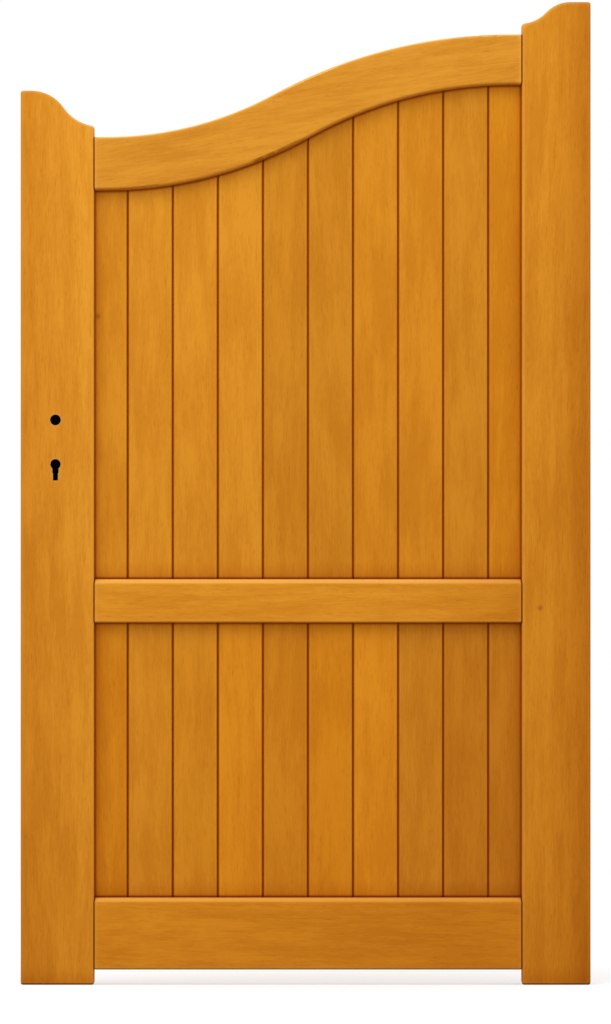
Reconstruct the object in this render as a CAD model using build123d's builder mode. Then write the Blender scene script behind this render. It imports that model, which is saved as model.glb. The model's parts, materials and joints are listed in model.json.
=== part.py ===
"""Framed and boarded garden gate leaf with a swept top rail.

The front view is the XZ plane, with the front face towards -Y and the hinge stile at +X.
The origin is on the hinge edge, at the foot of the hinge stile, in the middle of the
leaf's thickness. Two stiles and three rails are mortised and tenoned together, and two
panels of tongued and grooved boards stand in grooves round the inside of that frame.
All lengths are in millimetres.
"""

import os
from math import atan, floor, sin

from build123d import *

# Overall size of the leaf
gate_width = 900.0
hinge_stile_height = 1552.0
lock_stile_height = 1412.0
frame_thickness = 45.0

# Stiles
hinge_stile_width = 108.5
lock_stile_width = 116.0
stile_corner_radius = 4.0
stile_arris_radius = 3.0

# Ogee on the head of each stile: a level run, then a round, then a hollow to the inner edge
lock_ogee_level_run = 17.0
lock_ogee_round_run = 51.0
lock_ogee_round_drop = 27.0
lock_ogee_drop = 56.0
hinge_ogee_level_run = 32.0
hinge_ogee_round_run = 38.0
hinge_ogee_round_drop = 16.5
hinge_ogee_drop = 34.5

# Straight rails, by the height of their lower edge above the foot
bottom_rail_height = 24.0
bottom_rail_depth = 113.5
middle_rail_height = 572.0
middle_rail_depth = 68.5

# Swept top rail: each end by how far its upper edge lies below the head of that stile
top_rail_low_drop = 73.2
top_rail_high_drop = 51.2
top_rail_low_depth = 84.5
top_rail_high_depth = 79.9
top_rail_low_level_run = 18.0
top_rail_high_level_run = 18.0
upper_bend_share = 0.416
lower_bend_share = 0.504

# Eased arrises of the rails: the straight rails shed water over softened chamfers on their upper edges,
# the top rail is rounded well over the boards, and small chamfers run round the shoulders
weathering = 6.0
weathering_radius = 7.0
top_rail_lower_radius = 6.0
rail_arris_radius = 3.0
rail_shoulder_chamfer = 1.5
facing_share = 0.8

# Blind mortise and tenon joints
tenon_thickness = 15.0
tenon_length = 60.0
tenon_outer_shoulder = 10.0
tenon_gap = 0.2
mortise_end_gap = 2.0

# Grooves round the panels
panel_groove_depth = 12.0
panel_groove_gap = 0.2
board_end_gap = 2.0

# Boards with a tongue on the hinge side, a groove on the lock side and a V at each joint
board_thickness = 18.0
board_cover = 71.2
board_joint_gap = 0.4
board_v_depth = 2.2
tongue_thickness = 6.0
tongue_length = 7.0
tongue_cheek_gap = 0.3
tongue_end_gap = 1.0

# Lock: the places of the spindle and the key
spindle_height = 892.0
lock_backset = 55.0
lock_centres = 70.0
spindle_bore_radius = 8.5
keyhole_radius = 8.2
keyhole_neck_width = 10.0
keyhole_neck_reach = 13.7
keyhole_slot_width = 8.0
keyhole_slot_reach = 25.6

# Lock: the forend let into the stile's edge
forend_height = 235.0
forend_width = 20.0
forend_thickness = 3.0
forend_rise = 85.0
forend_gap = 0.3
forend_screw_inset = 11.0
forend_screw_radius = 2.2
forend_screw_head_radius = 4.2

# Lock: the case in its pocket
case_height = 165.0
case_depth = 82.0
case_thickness = 14.0
case_rise = 50.0
case_wall = 1.5
case_keyhole_depth = 5.0
pocket_gap = 1.0

# Lock: the follower that takes the handle's square bar
follower_radius = 10.0
follower_gap = 0.2
follower_web = 3.0
socket_width = 8.0

# Lock: the latch and the dead bolt, both drawn in flush with the forend
bolt_gap = 0.3
latch_rise = 8.0
latch_height = 34.0
latch_length = 26.0
latch_bevel_share = 0.8
dead_bolt_drop = 62.0
dead_bolt_height = 36.0
dead_bolt_length = 30.0
dead_bolt_chamfer = 1.0

# Places in the front view worked out from the sizes above
half_frame = frame_thickness / 2
hinge_edge = 0.0
lock_edge = hinge_edge - gate_width
hinge_shoulder = hinge_edge - hinge_stile_width
lock_shoulder = lock_edge + lock_stile_width
panel_width = hinge_shoulder - lock_shoulder

bottom_rail_top = bottom_rail_height + bottom_rail_depth
middle_rail_top = middle_rail_height + middle_rail_depth
top_rail_low_top = lock_stile_height - top_rail_low_drop
top_rail_high_top = hinge_stile_height - top_rail_high_drop
top_rail_low_foot = top_rail_low_top - top_rail_low_depth
top_rail_high_foot = top_rail_high_top - top_rail_high_depth

mortise_half = tenon_thickness / 2 + tenon_gap
panel_groove_width = board_thickness + 2 * panel_groove_gap
board_end_reach = panel_groove_depth - board_end_gap
lower_boards_foot = bottom_rail_top - panel_groove_depth
lower_boards_head = middle_rail_height + board_end_reach
upper_boards_foot = middle_rail_top - panel_groove_depth

# Places in the lock worked out from the sizes above
lock_x = lock_edge + lock_backset
key_height = spindle_height - lock_centres
forend_back = lock_edge + forend_thickness
forend_middle = spindle_height + forend_rise - forend_height / 2
case_middle = spindle_height + case_rise - case_height / 2
follower_half = case_thickness / 2 + pocket_gap / 2
socket_depth = follower_half - follower_web / 2
bolt_window_width = case_thickness - 2 * case_wall
bolt_thickness = bolt_window_width - 2 * bolt_gap
latch_middle = spindle_height + latch_rise
latch_window_height = latch_height + 2 * bolt_gap
dead_bolt_middle = spindle_height - dead_bolt_drop
dead_bolt_window_height = dead_bolt_height + 2 * bolt_gap

# The full boards stand between two outer ones, each at least half as wide as a full one
full_boards = floor(panel_width / board_cover) - 1
side_board_cover = (panel_width - full_boards * board_cover) / 2
first_joint = lock_shoulder + side_board_cover
board_joints = [first_joint + place * board_cover for place in range(full_boards + 1)]
board_edges = [lock_shoulder - board_end_reach, *board_joints, hinge_shoulder + board_end_reach]
board_places = range(len(board_edges) - 1)


def front_rectangle(left, right, foot, head):
    """Adds to the active front-view sketch a rectangle given by its four edges."""
    with Locations(((left + right) / 2, (foot + head) / 2)):
        Rectangle(right - left, head - foot)


def edge_rectangle(middle, height, thickness, mode=Mode.ADD):
    """Adds to the active sketch of the lock edge a rectangle centred at a height."""
    with Locations((0, middle)):
        Rectangle(thickness, height, mode=mode)


def forend_slot(gap=0.0):
    """Adds to the active sketch of the lock edge the forend's round-ended outline."""
    with Locations((0, forend_middle)):
        SlotOverall(forend_height + 2 * gap, forend_width + 2 * gap, rotation=90)


def keyhole():
    """Adds to the active front-view sketch a round with a stepped slot below it."""
    with Locations((lock_x, key_height)):
        Circle(keyhole_radius)
    steps = ((keyhole_neck_width, keyhole_neck_reach), (keyhole_slot_width, keyhole_slot_reach))
    for width, reach in steps:
        front_rectangle(lock_x - width / 2, lock_x + width / 2, key_height - reach, key_height)


def swept_edge(low_height, high_height, bend_share, rise=0.0):
    """Draws an S-shaped edge from the lock shoulder up to the hinge shoulder.

    It runs level, then in a hollow arc, then in a crown arc, then level again. A rise
    draws the line that lies parallel to that edge and higher by that distance.
    """
    start = Vector(lock_shoulder, low_height + rise)
    end = Vector(hinge_shoulder, high_height + rise)
    low_level = Line(start, start + Vector(top_rail_low_level_run, 0))
    high_level = Line(end - Vector(top_rail_high_level_run, 0), end)
    climb = high_level @ 0 - low_level @ 1
    slope = 2 * atan(climb.Y / climb.X)
    parallel_bend_share = bend_share - rise * sin(slope) / climb.X
    bend = low_level @ 1 + climb * parallel_bend_share
    hollow = TangentArc(low_level @ 1, bend, tangent=low_level % 1)
    TangentArc(hollow @ 1, high_level @ 0, tangent=hollow % 1)


def panel_under_sweep(foot, rise, reach):
    """Gives the front view from a level foot up to a line above the top rail's lower edge.

    The reach is how far it runs on, level, past each shoulder.
    """
    low_head = top_rail_low_foot + rise
    high_head = top_rail_high_foot + rise
    with BuildSketch(Plane.XZ) as panel:
        with BuildLine():
            swept_edge(top_rail_low_foot, top_rail_high_foot, lower_bend_share, rise)
            Polyline(
                (lock_shoulder, low_head),
                (lock_shoulder, foot),
                (hinge_shoulder, foot),
                (hinge_shoulder, high_head),
            )
        make_face()
        if reach > 0:
            front_rectangle(lock_shoulder - reach, lock_shoulder, foot, low_head)
            front_rectangle(hinge_shoulder, hinge_shoulder + reach, foot, high_head)
    return panel.sketch


def stile_outline(outer, inner, height, level_run, round_run, round_drop, drop):
    """Gives the front view of a stile, with the ogee on its head and its corners eased."""
    inward = 1 if inner > outer else -1
    corners = ((outer, 0), (inner, 0), (outer, height), (inner, height - drop))
    with BuildSketch(Plane.XZ) as outline:
        with BuildLine():
            edge = Line((outer, 0), (outer, height))
            level = Line(edge @ 1, (outer + inward * level_run, height))
            round_end = level @ 1 + Vector(inward * round_run, -round_drop)
            round_arc = TangentArc(level @ 1, round_end, tangent=level % 1)
            TangentArc(round_arc @ 1, (inner, height - drop), tangent=round_arc % 1)
            Polyline((inner, height - drop), (inner, 0), (outer, 0))
        make_face()
        eased = [outline.vertices().sort_by_distance(corner)[0] for corner in corners]
        fillet(eased, stile_corner_radius)
    return outline.sketch


def tenon_spans(inner):
    """Gives foot and head of the tenons at a stile's inner edge, from the bottom rail up."""
    at_lock = inner == lock_shoulder
    top_foot = top_rail_low_foot if at_lock else top_rail_high_foot
    top_head = top_rail_low_top if at_lock else top_rail_high_top
    return (
        (bottom_rail_height + tenon_outer_shoulder, bottom_rail_top - panel_groove_depth),
        (middle_rail_height + panel_groove_depth, middle_rail_top - panel_groove_depth),
        (top_foot + panel_groove_depth, top_head - tenon_outer_shoulder),
    )


def mortises(inner, outward):
    """Gives the front view of the three mortises in a stile's inner edge."""
    left, right = sorted((inner, inner + outward * (tenon_length + mortise_end_gap)))
    with BuildSketch(Plane.XZ) as openings:
        for foot, head in tenon_spans(inner):
            front_rectangle(left, right, foot - tenon_gap, head + tenon_gap)
    return openings.sketch


def stile_groove(inner, outward):
    """Gives the front view of the board groove in a stile's inner edge."""
    left, right = sorted((inner, inner + outward * panel_groove_depth))
    groove_head = tenon_spans(inner)[-1][0]
    with BuildSketch(Plane.XZ) as groove:
        front_rectangle(left, right, lower_boards_foot, groove_head)
    return groove.sketch


def tenons(place):
    """Gives the front view of the two tenons of a rail, whose place counts from the bottom up."""
    with BuildSketch(Plane.XZ) as pair:
        lock_span = tenon_spans(lock_shoulder)[place]
        front_rectangle(lock_shoulder - tenon_length, lock_shoulder, *lock_span)
        hinge_span = tenon_spans(hinge_shoulder)[place]
        front_rectangle(hinge_shoulder, hinge_shoulder + tenon_length, *hinge_span)
    return pair.sketch


def round_arrises(rail, upward, radius):
    """Rounds the long arrises of the active part's rail, on its upper side (1) or its lower one (-1)."""
    edge_faces = rail.faces().filter_by(lambda face: face.normal_at().Z * upward > facing_share)
    fillet(edge_faces.edges().filter_by(Axis.Y, reverse=True), radius)


def weather_arrises(rail):
    """Chamfers the upper arrises of the active part's straight rail and softens the chamfers."""
    upper_face = rail.faces().sort_by(Axis.Z)[-1]
    chamfer(upper_face.edges().filter_by(Axis.X), weathering)
    slopes = rail.faces().filter_by(lambda face: 0 < face.normal_at().Z < facing_share)
    fillet(slopes.edges().filter_by(Axis.X), weathering_radius)


def chamfer_shoulders(rail):
    """Chamfers the edges round both shoulders of the active part's rail."""
    chamfer(rail.faces().filter_by(Axis.X).edges(), rail_shoulder_chamfer)


def board_section(place, foot):
    """Gives the section of a board, counted from the lock stile, at the height of its foot."""
    grooved = place > board_places[0]
    tongued = place < board_places[-1]
    left = board_edges[place] + (board_joint_gap / 2 if grooved else 0)
    right = board_edges[place + 1] - (board_joint_gap / 2 if tongued else 0)
    with BuildSketch(Plane.XY.offset(foot)) as section:
        with Locations(((left + right) / 2, 0)):
            Rectangle(right - left, board_thickness)
        sides = section.vertices().group_by(Axis.X)
        eased = (sides[0] if grooved else []) + (sides[-1] if tongued else [])
        chamfer(eased, board_v_depth)
        if tongued:
            with Locations((right + tongue_length / 2, 0)):
                Rectangle(tongue_length, tongue_thickness)
        if grooved:
            groove_depth = tongue_length - board_joint_gap + tongue_end_gap
            with Locations((left + groove_depth / 2, 0)):
                Rectangle(groove_depth, tongue_thickness + 2 * tongue_cheek_gap, mode=Mode.SUBTRACT)
    return section.sketch


def write(piece, name):
    """Labels a finished piece and writes it to its own file."""
    piece.label = name
    export_step(piece, os.path.join("parts", name + ".step"))


os.makedirs("parts", exist_ok=True)

# Hinge stile, the taller one
with BuildPart() as hinge_stile:
    outline = stile_outline(
        hinge_edge,
        hinge_shoulder,
        hinge_stile_height,
        hinge_ogee_level_run,
        hinge_ogee_round_run,
        hinge_ogee_round_drop,
        hinge_ogee_drop,
    )
    extrude(outline, amount=half_frame, both=True)
    fillet(hinge_stile.faces().filter_by(Axis.Y).edges(), stile_arris_radius)
    extrude(mortises(hinge_shoulder, 1), amount=mortise_half, both=True, mode=Mode.SUBTRACT)
    extrude(stile_groove(hinge_shoulder, 1), amount=panel_groove_width / 2, both=True, mode=Mode.SUBTRACT)
write(hinge_stile.part, "hinge_stile")

# Lock stile, with the seat of the forend, the pocket of the case, the spindle bore and the keyhole
with BuildPart() as lock_stile:
    outline = stile_outline(
        lock_edge,
        lock_shoulder,
        lock_stile_height,
        lock_ogee_level_run,
        lock_ogee_round_run,
        lock_ogee_round_drop,
        lock_ogee_drop,
    )
    extrude(outline, amount=half_frame, both=True)
    fillet(lock_stile.faces().filter_by(Axis.Y).edges(), stile_arris_radius)
    extrude(mortises(lock_shoulder, -1), amount=mortise_half, both=True, mode=Mode.SUBTRACT)
    extrude(stile_groove(lock_shoulder, -1), amount=panel_groove_width / 2, both=True, mode=Mode.SUBTRACT)
    with BuildSketch(Plane.YZ.offset(lock_edge)):
        forend_slot(forend_gap)
    extrude(amount=forend_thickness, mode=Mode.SUBTRACT)
    with BuildSketch(Plane.YZ.offset(lock_edge)):
        edge_rectangle(case_middle, case_height + 2 * pocket_gap, case_thickness + 2 * pocket_gap)
    extrude(amount=forend_thickness + case_depth + pocket_gap, mode=Mode.SUBTRACT)
    with BuildSketch(Plane.XZ):
        with Locations((lock_x, spindle_height)):
            Circle(spindle_bore_radius)
        keyhole()
    extrude(amount=frame_thickness, both=True, mode=Mode.SUBTRACT)
write(lock_stile.part, "lock_stile")

# Bottom rail, grooved along its upper edge
with BuildPart() as bottom_rail:
    with BuildSketch(Plane.XZ):
        front_rectangle(lock_shoulder, hinge_shoulder, bottom_rail_height, bottom_rail_top)
    extrude(amount=half_frame, both=True)
    weather_arrises(bottom_rail)
    round_arrises(bottom_rail, -1, rail_arris_radius)
    chamfer_shoulders(bottom_rail)
    with BuildSketch(Plane.XZ):
        front_rectangle(lock_shoulder, hinge_shoulder, lower_boards_foot, bottom_rail_top)
    extrude(amount=panel_groove_width / 2, both=True, mode=Mode.SUBTRACT)
    extrude(tenons(0), amount=tenon_thickness / 2, both=True)
write(bottom_rail.part, "bottom_rail")

# Middle rail, grooved along both edges
with BuildPart() as middle_rail:
    with BuildSketch(Plane.XZ):
        front_rectangle(lock_shoulder, hinge_shoulder, middle_rail_height, middle_rail_top)
    extrude(amount=half_frame, both=True)
    weather_arrises(middle_rail)
    round_arrises(middle_rail, -1, rail_arris_radius)
    chamfer_shoulders(middle_rail)
    with BuildSketch(Plane.XZ):
        lower_groove_end = middle_rail_height + panel_groove_depth
        front_rectangle(lock_shoulder, hinge_shoulder, middle_rail_height, lower_groove_end)
        front_rectangle(lock_shoulder, hinge_shoulder, upper_boards_foot, middle_rail_top)
    extrude(amount=panel_groove_width / 2, both=True, mode=Mode.SUBTRACT)
    extrude(tenons(1), amount=tenon_thickness / 2, both=True)
write(middle_rail.part, "middle_rail")

# Top rail, swept in an S and grooved along its lower edge
with BuildPart() as top_rail:
    with BuildSketch(Plane.XZ):
        with BuildLine():
            swept_edge(top_rail_low_top, top_rail_high_top, upper_bend_share)
            swept_edge(top_rail_low_foot, top_rail_high_foot, lower_bend_share)
            Line((lock_shoulder, top_rail_low_foot), (lock_shoulder, top_rail_low_top))
            Line((hinge_shoulder, top_rail_high_foot), (hinge_shoulder, top_rail_high_top))
        make_face()
    extrude(amount=half_frame, both=True)
    round_arrises(top_rail, -1, top_rail_lower_radius)
    round_arrises(top_rail, 1, rail_arris_radius)
    chamfer_shoulders(top_rail)
    groove = panel_under_sweep(top_rail_low_foot - top_rail_low_depth, panel_groove_depth, 0)
    extrude(groove, amount=panel_groove_width / 2, both=True, mode=Mode.SUBTRACT)
    extrude(tenons(2), amount=tenon_thickness / 2, both=True)
write(top_rail.part, "top_rail")

# Boards, those of the upper panel cut to the sweep of the top rail
upper_panel = panel_under_sweep(upper_boards_foot, board_end_reach, board_end_reach)
for place in board_places:
    with BuildPart() as lower_board:
        extrude(board_section(place, lower_boards_foot), amount=lower_boards_head - lower_boards_foot)
    write(lower_board.part, f"lower_board_{place + 1}")

    with BuildPart() as upper_board:
        extrude(board_section(place, upper_boards_foot), amount=top_rail_high_top - upper_boards_foot)
        extrude(upper_panel, amount=board_thickness, both=True, mode=Mode.INTERSECT)
    write(upper_board.part, f"upper_board_{place + 1}")

# Forend, with windows for the two bolts and a countersunk hole near each end
with BuildPart() as lock_forend:
    with BuildSketch(Plane.YZ.offset(lock_edge)):
        forend_slot()
        edge_rectangle(latch_middle, latch_window_height, bolt_window_width, Mode.SUBTRACT)
        edge_rectangle(dead_bolt_middle, dead_bolt_window_height, bolt_window_width, Mode.SUBTRACT)
    extrude(amount=forend_thickness)
    screw_reach = forend_height / 2 - forend_screw_inset
    for screw_height in (forend_middle - screw_reach, forend_middle + screw_reach):
        with Locations(Plane((lock_edge, 0, screw_height), x_dir=(0, 1, 0), z_dir=(-1, 0, 0))):
            CounterSinkHole(forend_screw_radius, forend_screw_head_radius)
write(lock_forend.part, "lock_forend")

# Case, with the follower's hole, a keyhole sunk in each side and the runs of the two bolts
with BuildPart() as lock_case:
    with BuildSketch(Plane.YZ.offset(forend_back)):
        edge_rectangle(case_middle, case_height, case_thickness)
    extrude(amount=case_depth)
    with BuildSketch(Plane.XZ):
        with Locations((lock_x, spindle_height)):
            Circle(follower_radius + follower_gap)
    extrude(amount=case_thickness, both=True, mode=Mode.SUBTRACT)
    for side in (-1, 1):
        with BuildSketch(Plane.XZ.offset(side * case_thickness / 2)):
            keyhole()
        extrude(amount=-side * case_keyhole_depth, mode=Mode.SUBTRACT)
    with BuildSketch(Plane.YZ.offset(forend_back)):
        edge_rectangle(latch_middle, latch_window_height, bolt_window_width)
    extrude(amount=latch_length - forend_thickness, mode=Mode.SUBTRACT)
    with BuildSketch(Plane.YZ.offset(forend_back)):
        edge_rectangle(dead_bolt_middle, dead_bolt_window_height, bolt_window_width)
    extrude(amount=dead_bolt_length - forend_thickness, mode=Mode.SUBTRACT)
write(lock_case.part, "lock_case")

# Follower, with a square socket in each end
with BuildPart() as spindle_follower:
    with BuildSketch(Plane.XZ):
        with Locations((lock_x, spindle_height)):
            Circle(follower_radius)
    extrude(amount=follower_half, both=True)
    for side in (-1, 1):
        with BuildSketch(Plane.XZ.offset(side * follower_half)):
            with Locations((lock_x, spindle_height)):
                Rectangle(socket_width, socket_width)
        extrude(amount=-side * socket_depth, mode=Mode.SUBTRACT)
write(spindle_follower.part, "spindle_follower")

# Latch, bevelled towards the back
with BuildPart() as latch_bolt:
    with BuildSketch(Plane.YZ.offset(lock_edge)):
        edge_rectangle(latch_middle, latch_height, bolt_thickness)
    extrude(amount=latch_length)
    nose_edges = latch_bolt.faces().sort_by(Axis.X)[0].edges().filter_by(Axis.Z)
    chamfer(nose_edges.sort_by(Axis.Y)[-1], bolt_thickness * latch_bevel_share)
write(latch_bolt.part, "latch_bolt")

# Dead bolt, square with an eased nose
with BuildPart() as dead_bolt:
    with BuildSketch(Plane.YZ.offset(lock_edge)):
        edge_rectangle(dead_bolt_middle, dead_bolt_height, bolt_thickness)
    extrude(amount=dead_bolt_length)
    chamfer(dead_bolt.faces().sort_by(Axis.X)[0].edges(), dead_bolt_chamfer)
write(dead_bolt.part, "dead_bolt")
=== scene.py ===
# %% [markdown]
# # Dressing a stained garden gate
#
# The gate leaf comes from the workshop as solids: stiles, rails, boards and a lock, all at
# their real size in metres. This lesson leaves their shape alone and gives them their looks.
# First the frame is loaded, and its box is kept, which later sets the floor's place and the
# camera's aim and lens.

# %% Load the gate
import json
import math

import bpy
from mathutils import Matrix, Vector

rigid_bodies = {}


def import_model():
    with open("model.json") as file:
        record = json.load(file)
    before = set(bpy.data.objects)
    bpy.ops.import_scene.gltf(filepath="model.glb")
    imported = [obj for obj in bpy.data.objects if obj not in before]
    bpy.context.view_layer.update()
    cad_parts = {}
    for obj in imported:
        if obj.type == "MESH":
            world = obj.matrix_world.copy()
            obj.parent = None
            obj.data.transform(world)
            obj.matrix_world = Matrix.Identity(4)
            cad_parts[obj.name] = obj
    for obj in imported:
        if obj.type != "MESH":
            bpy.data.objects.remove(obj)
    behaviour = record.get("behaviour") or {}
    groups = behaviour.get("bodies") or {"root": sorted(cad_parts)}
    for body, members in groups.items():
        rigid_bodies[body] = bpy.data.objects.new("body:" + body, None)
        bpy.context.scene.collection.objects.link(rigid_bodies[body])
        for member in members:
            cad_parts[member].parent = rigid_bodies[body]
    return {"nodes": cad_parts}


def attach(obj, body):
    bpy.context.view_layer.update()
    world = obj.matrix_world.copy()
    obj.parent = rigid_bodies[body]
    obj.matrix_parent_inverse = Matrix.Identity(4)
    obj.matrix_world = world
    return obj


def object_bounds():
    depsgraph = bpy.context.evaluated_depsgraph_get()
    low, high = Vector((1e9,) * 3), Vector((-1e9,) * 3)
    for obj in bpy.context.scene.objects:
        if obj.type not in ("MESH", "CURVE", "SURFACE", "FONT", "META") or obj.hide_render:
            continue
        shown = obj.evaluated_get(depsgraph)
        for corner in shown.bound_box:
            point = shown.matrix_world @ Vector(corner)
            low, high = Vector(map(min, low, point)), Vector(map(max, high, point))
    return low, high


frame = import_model()
cad_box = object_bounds()
nodes = frame["nodes"]
print(len(nodes), "pieces, from", tuple(cad_box[0]), "to", tuple(cad_box[1]))

# %% [markdown]
# ## Two small tools
#
# A colour is easiest to choose on a screen, as a hex value, but shaders add and multiply
# light, so they need it in linear numbers. One function does that. Another adds a node,
# sets it up and wires it in one go, which keeps every material below short.

# %% Colours and nodes
MM = 0.001


def linear(hex_colour):
    """Turns an sRGB hex value into the linear colour that a shader works with."""
    channels = [int(hex_colour[at:at + 2], 16) / 255 for at in (1, 3, 5)]
    return [c / 12.92 if c <= 0.04045 else ((c + 0.055) / 1.055) ** 2.4 for c in channels] + [1.0]


def add_node(tree, kind, sockets=None, **settings):
    """Adds a node, sets its settings, and fills its sockets with values or links."""
    node = tree.nodes.new(kind)
    for setting, value in settings.items():
        setattr(node, setting, value)
    for socket, value in (sockets or {}).items():
        if isinstance(value, bpy.types.NodeSocket):
            tree.links.new(value, node.inputs[socket])
        else:
            node.inputs[socket].default_value = value
    return node


def new_material(name):
    """Makes an empty node material."""
    material = bpy.data.materials.new(name)
    material.use_nodes = True
    material.node_tree.nodes.clear()
    return material


print("mid grey #808080 is", round(linear("#808080")[0], 3), "in linear light")

# %% [markdown]
# ## Stained hardwood: the grain
#
# The gate is planed hardwood under a translucent honey-coloured stain. Close up such a
# surface is a stack of patterns, each much longer along the grain than across it: clouds
# where the stain took better, streaks of growth, fibres, and open pores like short dashes.
# A picture of wood could show that, but a stack of noise has no seams and a true scale, and
# a shift of its mapping cuts every plank from another part of the tree. The grain also
# wanders a little, so the place that the fine patterns are read from is pushed sideways by
# a slow noise.

# %% How large each pattern is
# Width across the grain and length along it, in millimetres, and the noise's detail. Fibres
# and pores are drawn two to three times as coarse as real ones, so that they show from afar.
GRAIN = {
    "cloud": (60.0, 160.0, 3.0),
    "streak": (13.0, 140.0, 3.0),
    "fibre": (2.6, 30.0, 3.0),
    "fleck": (4.0, 9.0, 2.0),
    "pore": (0.7, 16.0, 2.0),
}
# The size of the slow noise by which the grain wanders, and how far it pushes, in millimetres.
WANDER_ACROSS, WANDER_ALONG, WANDER_PUSH = 55.0, 200.0, 6.0
# The turn in degrees that lays a piece's length on the pattern's Z axis.
LENGTHWISE = {"upright": 0.0, "level": 90.0, "sloping": 98.0}
# No log is sawn quite along its grain, so each plank's grain runs askew by up to this many
# degrees. From plank to plank the skew moves on by a part of a turn, and the pattern by a step.
ASKEW, SKEW_STEP = 1.0, 2.4
PLANK_STEP = Vector((0.37, 1.13, 2.71))


def stretch(across, along):
    """The mapping scale for noise cells that are this many millimetres across and along."""
    return (1 / (across * MM), 1 / (across * MM), 1 / (along * MM))


def grain_patterns(tree, place, lie, plank):
    """Lays the grain's patterns on a piece, and returns each by name."""
    turn = LENGTHWISE[lie] + ASKEW * math.sin(SKEW_STEP * plank)
    board = add_node(tree, "ShaderNodeMapping", {
        "Vector": place, "Location": PLANK_STEP * plank,
        "Rotation": (0.0, math.radians(turn), 0.0),
    })
    slow = add_node(tree, "ShaderNodeMapping", {
        "Vector": board.outputs["Vector"], "Scale": stretch(WANDER_ACROSS, WANDER_ALONG),
    })
    wander = add_node(tree, "ShaderNodeTexNoise", {
        "Vector": slow.outputs["Vector"], "Scale": 1.0, "Detail": 1.0,
    })
    pushed = add_node(tree, "ShaderNodeVectorMath", {
        0: wander.outputs["Color"], 1: [WANDER_PUSH * MM] * 3, 2: board.outputs["Vector"],
    }, operation="MULTIPLY_ADD")

    patterns = {}
    for pattern, (across, along, detail) in GRAIN.items():
        stretched = add_node(tree, "ShaderNodeMapping", {
            "Vector": pushed.outputs["Vector"], "Scale": stretch(across, along),
        })
        noise = add_node(tree, "ShaderNodeTexNoise", {
            "Vector": stretched.outputs["Vector"], "Scale": 1.0, "Detail": detail,
        })
        patterns[pattern] = noise.outputs["Fac"]
    return patterns


print("grain patterns:", ", ".join(GRAIN))

# %% [markdown]
# ## Stained hardwood: the colour
#
# One number, the shade, adds the patterns up. A colour ramp turns it into stain that is
# deeper where it sank in and paler where hard late wood shines through. Mixing in black for
# the deep end would look dirty. Stain is a filter, and a thicker one swallows blue and green
# sooner than red, so each channel is thinned by its own density.

# %% From shade to colour
# How much of the step from dark to light each pattern makes. Boards are cloudier than the
# frame, so the weight of the clouds comes with the piece.
SHADE_WEIGHT = {"streak": 1.5, "fibre": 1.1, "fleck": 0.4}
# The shades at which the stain is deepest and palest.
DEEPEST, PALEST = 0.15, 0.85
# How strongly a film of stain swallows red, green and blue.
STAIN_DENSITY = (0.20, 0.32, 0.60)
# Pores show where their noise is high: from the first value on, and fully at the second.
PORE_SHUT, PORE_OPEN = 0.60, 0.70
PORE_COLOUR, PORE_SHARE = "#8A4A10", 0.30


def film(thickness):
    """The share of red, green and blue that a film of stain lets through."""
    return [math.exp(-density * thickness) for density in STAIN_DENSITY] + [1.0]


def layer_of(tone, thickness):
    """The tone's colour under a film that is thicker than usual, or thinner if below zero."""
    return [channel * share for channel, share in zip(linear(tone), film(thickness))]


def stain_colour(tree, patterns, tone, figure, cloudy):
    """Turns the patterns into stained wood, whose film varies by the figure either way."""
    weights = {"cloud": cloudy, **SHADE_WEIGHT}
    shade = 0.5 - sum(weights.values()) / 2
    for pattern, weight in weights.items():
        added = add_node(tree, "ShaderNodeMath", {0: patterns[pattern], 1: weight, 2: shade},
                         operation="MULTIPLY_ADD")
        shade = added.outputs["Value"]
    stain = add_node(tree, "ShaderNodeValToRGB", {"Fac": shade})
    ramp = stain.color_ramp.elements
    ramp[0].position, ramp[0].color = DEEPEST, layer_of(tone, figure)
    ramp[1].position, ramp[1].color = PALEST, layer_of(tone, -figure)

    open_pores = add_node(tree, "ShaderNodeMapRange", {
        "Value": patterns["pore"], "From Min": PORE_SHUT, "From Max": PORE_OPEN,
        "To Max": PORE_SHARE,
    })
    wood = add_node(tree, "ShaderNodeMix", {
        "Factor": open_pores.outputs["Result"],
        "A": stain.outputs["Color"], "B": linear(PORE_COLOUR),
    }, data_type="RGBA")
    return wood.outputs["Result"]


print("a film of 0.4 lets through", [round(share, 3) for share in film(0.4)[:3]])

# %% [markdown]
# ## Stained hardwood: painted shade in corners, and pale arrises
#
# Every inner corner is painted darker and redder, a painted shade that reaches a few centimetres
# out: in the V joints between the boards, and where the boards enter the grooves of the frame.
# Right in each corner a thin red-brown line is painted, partly stain gathered in the joint and
# partly painted shade, and from the front these lines run round each board. Over a sharp arris the
# colour turns paler, partly stain worn thin and partly a painted highlight. Both could be painted
# by hand, but an Ambient Occlusion node finds the corners by itself: with a long reach for the
# painted corner shade, with a short one for the corner line, and looking into the wood for the
# arrises.

# %% Corners and arrises
# The openness at which each effect starts and is full. The reach of the painted corner shade is in
# millimetres. That of the corner line and of the pale arris differs between frame and boards.
# Painted shade: inner corners are darkened through a stain-coloured film.
PAINTED_CORNER_SHADE = (32.0, 1.0, 0.5)
PAINTED_CORNER_SHADE_FILM = "#ECDEBA"
# A red-brown line right in each inner corner: partly stain gathered in the joint, partly painted
# shade.
BEAD_AND_SHADE = (0.97, 0.66)
BEAD_AND_SHADE_COLOUR = "#9E4300"
# Arrises turn pale: partly worn stain, partly painted highlight.
ARRIS_WEAR_AND_HIGHLIGHT = (0.82, 0.55)
WORN_AND_HIGHLIT_COLOUR = "#E4A448"
CORNER_RAYS = 8


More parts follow.
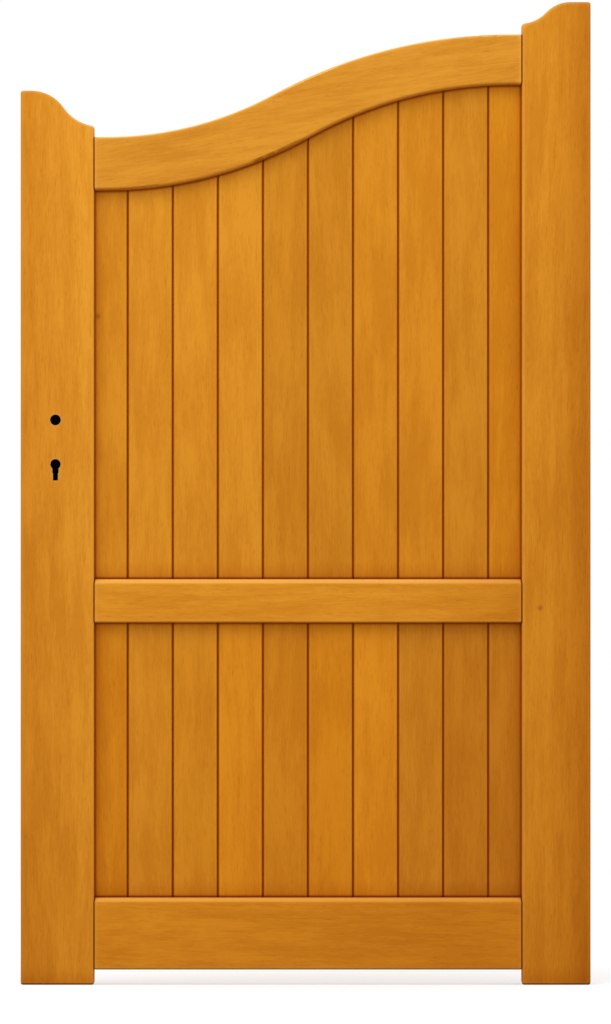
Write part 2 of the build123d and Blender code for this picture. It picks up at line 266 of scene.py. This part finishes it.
def near_corner(tree, reach, start, full, inside=False):
    """How near a point is to an inner corner, or to an arris if looked at from inside: 0 to 1."""
    openness = add_node(tree, "ShaderNodeAmbientOcclusion", {"Distance": reach * MM},
                        samples=CORNER_RAYS, inside=inside)
    near = add_node(tree, "ShaderNodeMapRange", {
        "Value": openness.outputs["AO"], "From Min": start, "From Max": full,
    })
    return near.outputs["Result"]


def corner_shade_and_arris_light(tree, colour, cut):
    """Pales arrises, partly worn stain and partly painted highlight, paints shade towards inner
    corners, and lines those with stain and painted shade.
    """
    # Three layers: a pale arris, partly worn stain and partly painted highlight; painted corner
    # shade; and a dark corner line, partly stain and partly painted shade.
    shade_and_highlight_layers = (
        (near_corner(tree, cut["wear_and_highlight"], *ARRIS_WEAR_AND_HIGHLIGHT, inside=True), WORN_AND_HIGHLIT_COLOUR, "MIX"),
        (near_corner(tree, *PAINTED_CORNER_SHADE), PAINTED_CORNER_SHADE_FILM, "MULTIPLY"),
        (near_corner(tree, cut["bead_and_shade"], *BEAD_AND_SHADE), BEAD_AND_SHADE_COLOUR, "MIX"),
    )
    for share, layer_colour, blend in shade_and_highlight_layers:
        layer = add_node(tree, "ShaderNodeMix", {
            "Factor": share, "A": colour, "B": linear(layer_colour),
        }, data_type="RGBA", blend_type=blend)
        colour = layer.outputs["Result"]
    return colour


# The painted shade in inner corners reaches this far off a corner.
print("stain is dragged from", PAINTED_CORNER_SHADE[0], "mm off a corner")

# %% [markdown]
# ## Stained hardwood: end grain and painted top light
#
# Cut across, wood is a bundle of open straws that drink the stain and turn dark. What faces up on
# a rail, such as the chamfers along it, is painted paler, a painted highlight of the light from
# above. A second material on those faces would end at a hard line, and its faces would have to be
# picked one by one. The surface's normal already tells where each shows, and lets it fade in.

# %% End grain and painted top light
END_GRAIN_COLOUR, END_GRAIN_SHARE = "#8A4A12", 0.6
# Painted highlight on the faces of a rail that look up.
TOPLIT_COLOUR, TOPLIT_SHARE = "#F0B556", 0.85
# How far the normal points along the grain, or up, where each starts and where it is full.
END_GRAIN_FACING, TOPLIT_FACING = (0.55, 0.90), (0.15, 0.65)


def faced(tree, colour, normal, lie):
    """Darkens faces that cut across the grain, and paints a highlight on those of a rail that face
    up.
    """
    facing = add_node(tree, "ShaderNodeSeparateXYZ", {"Vector": normal})
    along = facing.outputs["Z" if lie == "upright" else "X"]
    size = add_node(tree, "ShaderNodeMath", {0: along}, operation="ABSOLUTE")
    cut = add_node(tree, "ShaderNodeMapRange", {
        "Value": size.outputs["Value"], "From Min": END_GRAIN_FACING[0],
        "From Max": END_GRAIN_FACING[1], "To Max": END_GRAIN_SHARE,
    })
    darkened = add_node(tree, "ShaderNodeMix", {
        "Factor": cut.outputs["Result"], "A": colour, "B": linear(END_GRAIN_COLOUR),
    }, data_type="RGBA")
    if lie == "upright":
        return darkened.outputs["Result"]
    # Painted highlight: faces that look up are mixed towards a pale colour.
    toplit_mask = add_node(tree, "ShaderNodeMapRange", {
        "Value": facing.outputs["Z"], "From Min": TOPLIT_FACING[0],
        "From Max": TOPLIT_FACING[1], "To Max": TOPLIT_SHARE,
    })
    toplit = add_node(tree, "ShaderNodeMix", {
        "Factor": toplit_mask.outputs["Result"],
        "A": darkened.outputs["Result"], "B": linear(TOPLIT_COLOUR),
    }, data_type="RGBA")
    return toplit.outputs["Result"]


# The share printed for sun is that of the painted highlight on faces that look up.
print("end grain is mixed in by", END_GRAIN_SHARE, "and sun by", TOPLIT_SHARE)

# %% [markdown]
# ## Stained hardwood: painted shade towards the foot and under the rails
#
# The gate is painted a little darker towards its foot, a painted shade for the light that falls
# off towards the floor, and darker on the faces of a rail that look down, a painted shade under
# the rail. Brown mixed in there would look like dirt. Each is one more film of the same stain
# instead: one that grows between two places, and one that grows as the surface turns to look down.

# %% Painted shade towards the foot and under the rails
# The axis along which a film grows, where it starts and is full in millimetres, and how
# thick it gets.
# Painted shade: darker towards the foot, where the light falls off.
PAINTED_SHADE_TO_FOOT = ("Z", 1500.0, 0.0, 0.85)
# How thick the painted shade under a rail is, by the lie of the rail, and how far the normal
# points up where it starts and where it is full.
UNDERSIDE_SHADE_FILM = {"sloping": 2.0, "level": 1.0}
UNDERSIDE_SHADE_FACING = (-0.10, -0.75)


def shaded_underneath(tree, colour, normal, lie):
    """Paints shade on the faces of a rail that look down."""
    facing = add_node(tree, "ShaderNodeSeparateXYZ", {"Vector": normal})
    under = add_node(tree, "ShaderNodeMapRange", {
        "Value": facing.outputs["Z"],
        "From Min": UNDERSIDE_SHADE_FACING[0], "From Max": UNDERSIDE_SHADE_FACING[1],
    })
    underside_shade = add_node(tree, "ShaderNodeMix", {
        "Factor": under.outputs["Result"], "A": colour, "B": film(UNDERSIDE_SHADE_FILM[lie]),
    }, data_type="RGBA", blend_type="MULTIPLY")
    return underside_shade.outputs["Result"]


def deepened(tree, colour, place, axis, start, full, thickness):
    """Adds a film that grows between two places along an axis, which paints shade towards the foot
    and above the rails, and darkens one side of a piece.
    """
    along = add_node(tree, "ShaderNodeSeparateXYZ", {"Vector": place})
    share = add_node(tree, "ShaderNodeMapRange", {
        "Value": along.outputs[axis], "From Min": start * MM, "From Max": full * MM,
    })
    deeper = add_node(tree, "ShaderNodeMix", {
        "Factor": share.outputs["Result"], "A": colour, "B": film(thickness),
    }, data_type="RGBA", blend_type="MULTIPLY")
    return deeper.outputs["Result"]


let_through = [round(share, 3) for share in film(PAINTED_SHADE_TO_FOOT[-1])[:3]]
print("at the foot the film lets through", let_through)

# %% [markdown]
# ## Stained hardwood: pin knots
#
# Two small brown knots show in this clear timber. A knot is a twig that ran through the plank
# from face to face. It could be a disc set into the wood, but a spot in the material leaves
# the plank whole and needs only two numbers, its place seen from the front. The place on the
# surface is pressed flat, and its distance to the twig's middle gives a soft round spot.

# %% Pin knots
KNOT_COLOUR, KNOT_SHARE = "#7A420C", 0.5
# The radii in millimetres within which a knot is full, and past which it is gone.
KNOT_CORE, KNOT_RIM = 1.0, 6.0


def knotted(tree, colour, place, across, height):
    """Puts a soft brown spot at a place on the face, all the way through the plank."""
    flat = add_node(tree, "ShaderNodeVectorMath", {0: place, 1: (1.0, 0.0, 1.0)},
                    operation="MULTIPLY")
    away = add_node(tree, "ShaderNodeVectorMath", {
        0: flat.outputs["Vector"], 1: (across * MM, 0.0, height * MM),
    }, operation="DISTANCE")
    spot = add_node(tree, "ShaderNodeMapRange", {
        "Value": away.outputs["Value"], "From Min": KNOT_RIM * MM, "From Max": KNOT_CORE * MM,
        "To Max": KNOT_SHARE,
    })
    knot = add_node(tree, "ShaderNodeMix", {
        "Factor": spot.outputs["Result"], "A": colour, "B": linear(KNOT_COLOUR),
    }, data_type="RGBA")
    return knot.outputs["Result"]


print("a knot fades out over", KNOT_RIM - KNOT_CORE, "mm")

# %% [markdown]
# ## Stained hardwood: the whole material
#
# The finish is satin: fibres stand a little proud and pores lie a little low, which breaks up
# the gloss. Cut into the mesh they would take millions of faces, so a bump tilts the light
# instead. Stain soaks in and leaves hardly any film on top, so the specular level is far
# below that of a varnish.

# %% The stained wood
# The roughness between the fibres and on them.
SATIN_LOW, SATIN_HIGH = 0.42, 0.62
WOOD_IOR, SPECULAR = 1.5, 0.05
# The height of the relief in millimetres, and how much of it shows.
RELIEF, RELIEF_SHARE = 0.25, 0.4


def stained_wood(name, tone, lie, plank, cut, films=(), knot=None):
    """Stained hardwood with its grain lying as told, cut as a plank of its own."""
    material = new_material(name)
    tree = material.node_tree
    where = add_node(tree, "ShaderNodeTexCoord")
    patterns = grain_patterns(tree, where.outputs["Object"], lie, plank)
    colour = stain_colour(tree, patterns, tone, cut["figure"], cut["cloudy"])
    if knot:
        colour = knotted(tree, colour, where.outputs["Object"], *knot)
    # Darker end grain, and a painted highlight on rail faces that look up.
    colour = faced(tree, colour, where.outputs["Normal"], lie)
    # Pale arrises, partly worn stain and partly painted highlight, and painted shade in inner
    # corners.
    colour = corner_shade_and_arris_light(tree, colour, cut)
    # Rails get painted shade on their faces that look down.
    if lie in UNDERSIDE_SHADE_FILM:
        colour = shaded_underneath(tree, colour, where.outputs["Normal"], lie)
    # Painted shade towards the foot, then the films given with the piece.
    for growth in (PAINTED_SHADE_TO_FOOT, *films):
        colour = deepened(tree, colour, where.outputs["Object"], *growth)
    satin = add_node(tree, "ShaderNodeMapRange", {
        "Value": patterns["fibre"], "To Min": SATIN_LOW, "To Max": SATIN_HIGH,
    })
    height = add_node(tree, "ShaderNodeMath", {0: patterns["fibre"], 1: patterns["pore"]},
                      operation="SUBTRACT")
    bump = add_node(tree, "ShaderNodeBump", {
        "Height": height.outputs["Value"], "Strength": RELIEF_SHARE, "Distance": RELIEF * MM,
    })
    surface = add_node(tree, "ShaderNodeBsdfPrincipled", {
        "Base Color": colour,
        "Roughness": satin.outputs["Result"],
        "Normal": bump.outputs["Normal"],
        "IOR": WOOD_IOR,
        "Specular IOR Level": SPECULAR,
    })
    add_node(tree, "ShaderNodeOutputMaterial", {"Surface": surface.outputs["BSDF"]})
    return material


def dress(piece, material):
    """Gives a CAD piece one material all over."""
    mesh = nodes[piece].data
    mesh.materials.clear()
    mesh.materials.append(material)


print("specular level of the stain:", SPECULAR)

# %% [markdown]
# ## The frame
#
# Stiles stand and rails lie, and their grain follows. One material for all five would run the
# grain straight across the joints, so each plank has its own, with its own tone. The top rail was
# sawn in its S from one straight plank that lay a little uphill, so its grain climbs by eight
# degrees. The stiles are darker towards their outer edges, and the two straight rails are darker
# towards the hinge side, a painted shade for light that falls off from the lock side to the hinge
# side.

# %% Stiles and rails
FRAME_STOCK = {
    "lock_stile": ("#E7992A", "upright"),
    "hinge_stile": ("#DA8C21", "upright"),
    "top_rail": ("#DB912A", "sloping"),
    "middle_rail": ("#E69929", "level"),
    "bottom_rail": ("#E69726", "level"),
}
# How a piece darkens towards one side, written as the painted shade towards the foot. On the two
# straight rails it is painted shade, for light that falls off towards the hinge side.
DARKER_SIDE = {
    "lock_stile": ("X", -795.0, -898.0, 0.7),
    "hinge_stile": ("X", -62.0, -2.0, 1.4),
    "middle_rail": ("X", -280.0, -110.0, 0.95),
    "bottom_rail": ("X", -780.0, -110.0, 0.7),
}
# How far the film varies with the grain and how cloudy it is, how many millimetres the pale arris,
# partly worn stain and partly painted highlight, reaches from an arris, and how far the dark
# corner line, partly stain and partly painted shade, reaches from a corner.
FRAME_CUT = {"figure": 0.38, "cloudy": 1.3, "wear_and_highlight": 10.0, "bead_and_shade": 4.0}
# Places of pin knots on the face, across and up, in millimetres.
PIN_KNOTS = {"hinge_stile": (-79.6, 595.0), "upper_board_1": (-777.8, 1056.0)}
for plank, (piece, (tone, lie)) in enumerate(FRAME_STOCK.items(), start=1):
    towards_darker_side = [DARKER_SIDE[piece]] if piece in DARKER_SIDE else []
    wood = stained_wood("stained_hardwood_" + piece, tone, lie, plank, FRAME_CUT,
                        towards_darker_side, PIN_KNOTS.get(piece))
    dress(piece, wood)
print("frame pieces dressed:", len(FRAME_STOCK))

# %% [markdown]
# ## The boards
#
# Boards from one batch still differ. Random tones would make some gate or other, but this one has
# its own order of pale and dark boards. So eight tones, named as a maker would sort them, are
# dealt out from the lock side to the hinge side, and every board gets its own stretch of grain.
# Above the rail below each panel the boards are painted darker, a painted shade in the corner that
# the rail makes with them: thinly for a few centimetres, and thickly in the last few millimetres.

# %% Board tones
STAIN_TONES = {
    "gold": "#E7941F",
    "straw": "#E19325",
    "fawn": "#DF9122",
    "amber": "#E08E1B",
    "honey": "#DB8C1F",
    "russet": "#DA8A19",
    "tan": "#D58920",
    "umber": "#CD801C",
}
BOARD_STOCK = {
    "upper": ("fawn", "straw", "straw", "straw", "tan", "tan", "honey", "honey", "tan", "russet"),
    "lower": ("amber", "straw", "fawn", "gold", "honey", "amber", "gold", "tan", "umber", "umber"),
}
print(len(STAIN_TONES), "tones for", sum(map(len, BOARD_STOCK.values())), "boards")

# %% Boards
BOARD_CUT = {"figure": 0.32, "cloudy": 2.1, "wear_and_highlight": 5.0, "bead_and_shade": 5.0}
RAIL_BELOW = {"upper": "middle_rail", "lower": "bottom_rail"}
# How high each painted shade stands above the rail, in millimetres, and how thick it gets.
PAINTED_SHADE_ABOVE_RAIL = ((28.0, 0.6), (5.0, 2.0))
plank = len(FRAME_STOCK)
for panel, stock in BOARD_STOCK.items():
    rail = nodes[RAIL_BELOW[panel]]
    ledge = max((rail.matrix_world @ Vector(corner)).z for corner in rail.bound_box) / MM
    # Painted shade on the boards just above the rail below them.
    shades_above_rail = [("Z", ledge + height, ledge, thickness) for height, thickness in PAINTED_SHADE_ABOVE_RAIL]
    for number, tone in enumerate(stock, start=1):
        plank += 1
        piece = f"{panel}_board_{number}"
        wood = stained_wood("stained_hardwood_" + piece, STAIN_TONES[tone], "upright", plank,
                            BOARD_CUT, shades_above_rail, PIN_KNOTS.get(piece))
        dress(piece, wood)
    print(panel, "boards stand on a ledge at", round(ledge, 1), "mm")
print("boards dressed:", plank - len(FRAME_STOCK))

# %% [markdown]
# ## The lock
#
# The forend and the bolts are steel with a bright zinc plating, brushed along their length,
# which draws every highlight out into a soft upright streak. An anisotropic shader does that
# too, but only where a face has a tangent to follow. A noise that is stretched along the
# brush works on any face. The case behind the holes is oiled black steel, which sends back
# hardly any light, so that the holes look deep.

# %% Brushed metal
def brushed_metal(name, dark, light, brush, smooth, rough):
    """Steel with brush lines, whose size along each axis is given in millimetres."""
    material = new_material(name)
    tree = material.node_tree
    where = add_node(tree, "ShaderNodeTexCoord")
    stretched = add_node(tree, "ShaderNodeMapping", {
        "Vector": where.outputs["Object"], "Scale": [1 / (size * MM) for size in brush],
    })
    lines = add_node(tree, "ShaderNodeTexNoise", {
        "Vector": stretched.outputs["Vector"], "Scale": 1.0,
    })
    tint = add_node(tree, "ShaderNodeMix", {
        "Factor": lines.outputs["Fac"], "A": linear(dark), "B": linear(light),
    }, data_type="RGBA")
    polish = add_node(tree, "ShaderNodeMapRange", {
        "Value": lines.outputs["Fac"], "To Min": smooth, "To Max": rough,
    })
    surface = add_node(tree, "ShaderNodeBsdfPrincipled", {
        "Base Color": tint.outputs["Result"], "Roughness": polish.outputs["Result"],
        "Metallic": 1.0,
    })
    add_node(tree, "ShaderNodeOutputMaterial", {"Surface": surface.outputs["BSDF"]})
    return material


# Real brush lines are a tenth of this width. They are drawn coarser so that they show.
UPRIGHT_LINES, NO_LINES = (0.8, 0.8, 24.0), (3.0, 3.0, 3.0)
zinc = brushed_metal("brushed_zinc_plating", "#84847F", "#B2B1AB", UPRIGHT_LINES, 0.28, 0.48)
black = brushed_metal("oiled_black_steel", "#060606", "#121110", NO_LINES, 0.5, 0.7)
print("metals:", zinc.name, "and", black.name)

# %% Lock pieces
LOCK_METAL = {
    "lock_forend": zinc, "latch_bolt": zinc, "dead_bolt": zinc,
    "lock_case": black, "spindle_follower": black,
}
for piece, metal in LOCK_METAL.items():
    dress(piece, metal)
print("lock pieces dressed:", len(LOCK_METAL))

# %% [markdown]
# ## Forend screws
#
# Two countersunk screws with a cross recess hold the forend in the stile's edge. A profile
# could be spun into one, but two extrusions are quicker. The first draws the shank out of a
# disc at the back of the forend, and the second, scaled up, draws the cone of the head. The
# recess is cut with a Boolean from two crossed bars, whose inner ends are drawn in so that a
# driver could seat in them. The second screw is a copy of the first.

# %% Screw sizes and places
# In millimetres, but for the taper, which is the share that is left at the recess's bottom.
SHANK_RADIUS, HEAD_RADIUS, HEAD_DEPTH, HEAD_BEVEL = 2.0, 4.0, 2.3, 0.15
SUNK, FOREND_THICKNESS, SCREW_INSET = 0.1, 3.0, 11.0
RECESS_REACH, RECESS_WIDTH, RECESS_DEPTH, RECESS_TAPER = 2.3, 0.9, 1.5, 0.55
forend = nodes["lock_forend"]
forend_corners = [forend.matrix_world @ Vector(corner) for corner in forend.bound_box]
forend_face = min(corner.x for corner in forend_corners)
forend_foot, forend_head = (pick(corner.z for corner in forend_corners) for pick in (min, max))
screw_places = [forend_foot + SCREW_INSET * MM, forend_head - SCREW_INSET * MM]
print("forend face at x =", round(forend_face, 4))
print("screws at z =", [round(z, 4) for z in screw_places])


# %% Screw body
SCREW_SIDES = 32
# How far a face may be off and still count: in millimetres, and in the X of its normal.
NEARLY = 0.01


def face_at(place):
    """Selects in edit mode the faces of the active mesh that look along X at this place."""
    bpy.ops.object.mode_set(mode="OBJECT")
    for polygon in bpy.context.object.data.polygons:
        along_x = abs(polygon.normal.x) > 1 - NEARLY
        polygon.select = along_x and abs(polygon.center.x - place) < NEARLY * MM
    bpy.ops.object.mode_set(mode="EDIT")


def extrude_out(length, scale, centre):
    """Extrudes the selected face out of the stile and scales its end."""
    bpy.ops.mesh.extrude_region_move(TRANSFORM_OT_translate={"value": (-length, 0.0, 0.0)})
    bpy.ops.transform.resize(value=(1.0, scale, scale), center_override=centre)


centre = Vector((forend_face, 0.0, screw_places[0]))
back = centre + Vector((FOREND_THICKNESS * MM, 0.0, 0.0))
bpy.ops.object.select_all(action="DESELECT")
bpy.ops.mesh.primitive_circle_add(vertices=SCREW_SIDES, radius=SHANK_RADIUS * MM,
                                  fill_type="NGON", location=back,
                                  rotation=(0.0, math.radians(-90), 0.0))
bpy.ops.object.transform_apply(location=True, rotation=True, scale=True)
first_screw = bpy.context.object
first_screw.name = "forend_screw_1"
face_at(back.x)
extrude_out((FOREND_THICKNESS - HEAD_DEPTH) * MM, 1.0, centre)
extrude_out((HEAD_DEPTH - SUNK) * MM, HEAD_RADIUS / SHANK_RADIUS, centre)
bpy.ops.mesh.bevel(offset=HEAD_BEVEL * MM, segments=2)
bpy.ops.mesh.select_all(action="SELECT")
bpy.ops.mesh.normals_make_consistent(inside=False)
bpy.ops.object.mode_set(mode="OBJECT")
print("screw body:", len(first_screw.data.polygons), "faces")

# %% Cross recess
bar_size = (2 * RECESS_DEPTH * MM, 2 * RECESS_REACH * MM, RECESS_WIDTH * MM)
for turn in (0.0, 90.0):
    bpy.ops.object.select_all(action="DESELECT")
    bpy.ops.mesh.primitive_cube_add(size=1.0, location=centre, scale=bar_size,
                                    rotation=(math.radians(turn), 0.0, 0.0))
    bpy.ops.object.transform_apply(location=True, rotation=True, scale=True)
    bar = bpy.context.object
    face_at(centre.x + RECESS_DEPTH * MM)
    bpy.ops.transform.resize(value=(1.0, RECESS_TAPER, RECESS_TAPER), center_override=centre)
    bpy.ops.object.mode_set(mode="OBJECT")
    bpy.ops.object.select_all(action="DESELECT")
    bpy.context.view_layer.objects.active = first_screw
    first_screw.select_set(True)
    cut = first_screw.modifiers.new("recess", "BOOLEAN")
    cut.object, cut.operation, cut.solver = bar, "DIFFERENCE", "EXACT"
    bpy.ops.object.modifier_apply(modifier=cut.name)
    bpy.data.objects.remove(bar)
first_screw.data.materials.append(zinc)
print("with its recess:", len(first_screw.data.polygons), "faces")

# %% Second screw
bpy.ops.object.duplicate()
second_screw = bpy.context.object
second_screw.name = "forend_screw_2"
bpy.ops.transform.translate(value=(0.0, 0.0, screw_places[1] - screw_places[0]))
bpy.ops.object.transform_apply(location=True, rotation=True, scale=True)
for screw in (first_screw, second_screw):
    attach(screw, "root")
    print(screw.name, "has", len(screw.data.polygons), "faces")

# %% [markdown]
# ## Floor and light
#
# The studio is plain: a white floor that fades into a white background, light from all
# round, and one large soft lamp high up and to the left, which brightens what faces up and
# lays a soft shade beside the lock stile. The floor is matt paper, which has no gloss and
# shows only shade. Lit until it looked white, it would throw too much light up at the gate.
# So what the camera and reflections see is set apart from the light that is given: floor and
# background are white to the eye, and the floor still takes the gate's shadow.

# %% Who sees the white
def white_to_the_eye(tree):
    """A factor of 1 for camera, glossy and transmission rays, and 0 for light on its way."""
    rays = add_node(tree, "ShaderNodeLightPath")
    seen = rays.outputs["Is Camera Ray"]
    for kind in ("Is Glossy Ray", "Is Transmission Ray"):
        seen = add_node(tree, "ShaderNodeMath", {0: seen, 1: rays.outputs[kind]},
                        operation="MAXIMUM").outputs["Value"]
    return seen


FILL, WHITE = 0.92, linear("#FFFFFF")
world = bpy.data.worlds.new("white_studio")
bpy.context.scene.world = world
world.use_nodes = True
world.node_tree.nodes.clear()
fill = add_node(world.node_tree, "ShaderNodeBackground", {"Color": WHITE, "Strength": FILL})
white = add_node(world.node_tree, "ShaderNodeBackground", {"Color": WHITE, "Strength": 1.0})
studio = add_node(world.node_tree, "ShaderNodeMixShader", {
    0: white_to_the_eye(world.node_tree),
    1: fill.outputs["Background"], 2: white.outputs["Background"],
})
add_node(world.node_tree, "ShaderNodeOutputWorld", {"Surface": studio.outputs["Shader"]})
print("fill strength", FILL)

# %% Floor
FLOOR_SIZE = 8.0
# The paper's own colour, and the white that only the eye sees on top of it.
PAPER_COLOUR, PAPER_GLOW = "#B4B4B4", "#C2C2C2"
gate_middle = (cad_box[0] + cad_box[1]) / 2
bpy.ops.object.select_all(action="DESELECT")
bpy.ops.mesh.primitive_plane_add(size=FLOOR_SIZE,
                                 location=(gate_middle.x, gate_middle.y, cad_box[0].z))
floor = bpy.context.object
floor.name = "studio_floor"
paper = new_material("white_paper")
matt = add_node(paper.node_tree, "ShaderNodeBsdfDiffuse", {"Color": linear(PAPER_COLOUR)})
glow = add_node(paper.node_tree, "ShaderNodeEmission", {
    "Color": linear(PAPER_GLOW), "Strength": white_to_the_eye(paper.node_tree),
})
both = add_node(paper.node_tree, "ShaderNodeAddShader", {
    0: matt.outputs["BSDF"], 1: glow.outputs["Emission"],
})
add_node(paper.node_tree, "ShaderNodeOutputMaterial", {"Surface": both.outputs["Shader"]})
floor.data.materials.append(paper)
print("floor laid,", FLOOR_SIZE, "m on a side")

# %% Key lamp
# In metres from the gate's middle, and the lamp's size in metres and energy in watts.
KEY_OFFSET = Vector((-1.6, -2.2, 6.0))
KEY_SIZE, KEY_ENERGY = 5.0, 240.0
bpy.ops.object.light_add(type="AREA", location=gate_middle + KEY_OFFSET)
key = bpy.context.object
key.name = "key_softbox"
key.data.size, key.data.energy = KEY_SIZE, KEY_ENERGY
key.rotation_euler = KEY_OFFSET.to_track_quat("Z", "Y").to_euler()
print("key lamp", round(KEY_OFFSET.length, 2), "m from the gate")

# %% [markdown]
# ## Camera
#
# The gate is shown square on, through a long lens from far off, so that no side of a stile
# shows. The lens could be matched by eye, but the gate's own width says how many metres one
# pixel spans, and that sets the aim and the lens.

# %% Camera
# The picture and the gate's place in it in pixels, and the camera in metres and millimetres.
PHOTO_WIDTH, PHOTO_HEIGHT = 611, 1024
GATE_LEFT_PX, GATE_RIGHT_PX, GATE_FOOT_PX = 20.6, 590.6, 984.87
CAMERA_DISTANCE, SENSOR = 14.0, 36.0
metres_per_pixel = (cad_box[1].x - cad_box[0].x) / (GATE_RIGHT_PX - GATE_LEFT_PX)
aim_x = cad_box[0].x + (PHOTO_WIDTH / 2 - GATE_LEFT_PX) * metres_per_pixel
aim_z = cad_box[0].z + (GATE_FOOT_PX - PHOTO_HEIGHT / 2) * metres_per_pixel
bpy.ops.object.camera_add(location=(aim_x, cad_box[0].y - CAMERA_DISTANCE, aim_z),
                          rotation=(math.radians(90), 0.0, 0.0))
camera = bpy.context.object
# The long side of the picture, here its height, takes the sensor's whole width.
camera.data.sensor_width = SENSOR
camera.data.lens = SENSOR * CAMERA_DISTANCE / (PHOTO_HEIGHT * metres_per_pixel)
bpy.context.scene.camera = camera
bpy.context.scene.view_settings.view_transform = "Standard"
print("lens", round(camera.data.lens, 1), "mm at", CAMERA_DISTANCE, "m")

# %% [markdown]
# ## The pieces dressed
#
# The last cell counts the CAD pieces that were dressed and the screws that were added.

# %% Pieces dressed
print("dressed", len(nodes), "CAD pieces and added", len(screw_places), "screws")
